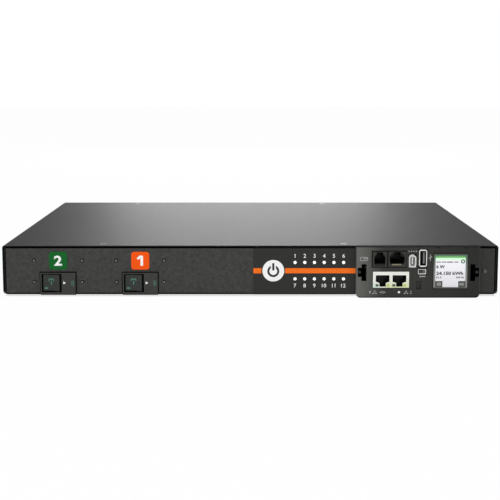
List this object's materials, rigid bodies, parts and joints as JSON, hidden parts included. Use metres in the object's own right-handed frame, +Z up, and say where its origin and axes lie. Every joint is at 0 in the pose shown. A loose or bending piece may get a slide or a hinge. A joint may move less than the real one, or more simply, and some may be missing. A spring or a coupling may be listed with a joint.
{
  "type": "rack power distribution unit",
  "caption": "Low rack power unit with two front breakers, a status panel, a network module with a small display, and rear outlets and inlets.",
  "frame": {"origin": "middle of the case's bottom face", "axes": "+X right seen from the front, +Y from the front panel to the rear wall, +Z up"},
  "size_m": [0.438, 0.2536, 0.0454],
  "materials": {
    "case_steel": "dark grey textured powder coat",
    "front_steel": "dark grey powder coat with a fine brushed grain",
    "bracket_steel": "zinc plated",
    "screw_steel": "dull plated",
    "breaker_plastic": "dark moulded",
    "rocker_plastic": "dark moulded, satin",
    "terminal_brass": "tinned",
    "tag_orange": "printed label",
    "tag_green": "printed label",
    "overlay_film": "smooth dark film",
    "stripe_orange": "printed stripe",
    "disc_white": "white disc",
    "light_lens": "white light pipe",
    "board_green": "solder mask",
    "module_plastic": "grey moulded",
    "display_grey": "grey border",
    "display_screen": "lit screen",
    "jack_black": "black moulded",
    "contact_gold": "gold plated",
    "shell_metal": "bright plated",
    "tongue_plastic": "black moulded",
    "port_light": "light pipe",
    "reset_plastic": "black moulded",
    "outlet_plastic": "black moulded",
    "blade_nickel": "nickel plated",
    "earth_brass": "plain",
    "relay_plastic": "black moulded",
    "supply_plastic": "potted block",
    "block_green": "green moulded",
    "sensor_plastic": "black moulded",
    "spacer_nylon": "nylon",
    "wire_insulation": "insulated wire",
    "bus_copper": "copper",
    "ribbon_grey": "flat cable"
  },
  "bodies": {
    "chassis": {"aux_port_shell": "shell_metal", "board_spacers": "spacer_nylon", "breaker_1_bezel": "breaker_plastic", "breaker_1_case": "breaker_plastic", "breaker_2_bezel": "breaker_plastic", "breaker_2_case": "breaker_plastic", "breaker_brackets": "bracket_steel", "breaker_screws": "screw_steel", "breaker_terminals": "terminal_brass", "bus_bars": "bus_copper", "chassis_tray": "case_steel", "cover_screws": "screw_steel", "current_sensors": "sensor_plastic", "display_bezel": "display_grey", "display_panel": "display_screen", "earth_nut": "earth_brass", "earth_stud": "earth_brass", "emblem_disc": "disc_white", "ethernet_inserts": "jack_black", "ethernet_lights": "port_light", "ethernet_shell": "shell_metal", "front_panel": "front_steel", "inlet_1": "outlet_plastic", "inlet_2": "outlet_plastic", "inlet_blades": "blade_nickel", "inlet_screws": "screw_steel", "jack_contacts": "contact_gold", "main_board": "board_green", "mini_port_shell": "shell_metal", "module_board": "board_green", "module_faceplate": "module_plastic", "module_housing": "bracket_steel", "module_screws": "screw_steel", "outlet_bank_1": "outlet_plastic", "outlet_bank_2": "outlet_plastic", "outlet_board": "board_green", "outlet_contacts": "blade_nickel", "outlet_relays": "relay_plastic", "panel_screw": "screw_steel", "port_tongues": "tongue_plastic", "power_supply": "supply_plastic", "reset_switch": "reset_plastic", "ribbon_cable": "ribbon_grey", "sensor_jack": "jack_black", "serial_jack": "jack_black", "status_board": "board_green", "status_lights": "light_lens", "status_overlay": "overlay_film", "status_stripe": "stripe_orange", "supply_wires": "wire_insulation", "tag_1": "tag_orange", "tag_2": "tag_green", "terminal_blocks": "block_green", "top_cover": "case_steel", "transfer_relays": "relay_plastic", "usb_port_shell": "shell_metal"},
    "breaker_1_rocker": {"breaker_1_rocker": "rocker_plastic"},
    "breaker_2_rocker": {"breaker_2_rocker": "rocker_plastic"},
    "reset_button": {"reset_button": "reset_plastic"}
  },
  "joints": [
    {"name": "breaker_1_switch", "type": "hinge", "parent": "chassis", "child": "breaker_1_rocker", "pos_m": [-0.1026, -0.1156, 0.0111], "axis": [0, 0, 1], "range_deg": [0, 12]},
    {"name": "breaker_2_switch", "type": "hinge", "parent": "chassis", "child": "breaker_2_rocker", "pos_m": [-0.1752, -0.1156, 0.0111], "axis": [0, 0, 1], "range_deg": [0, 12]},
    {"name": "reset_press", "type": "slide", "parent": "chassis", "child": "reset_button", "axis": [0, 1, 0], "range_m": [0, 0.0008], "stiffness_N_per_m": 300, "springref_m": -0.0004}
  ]
}
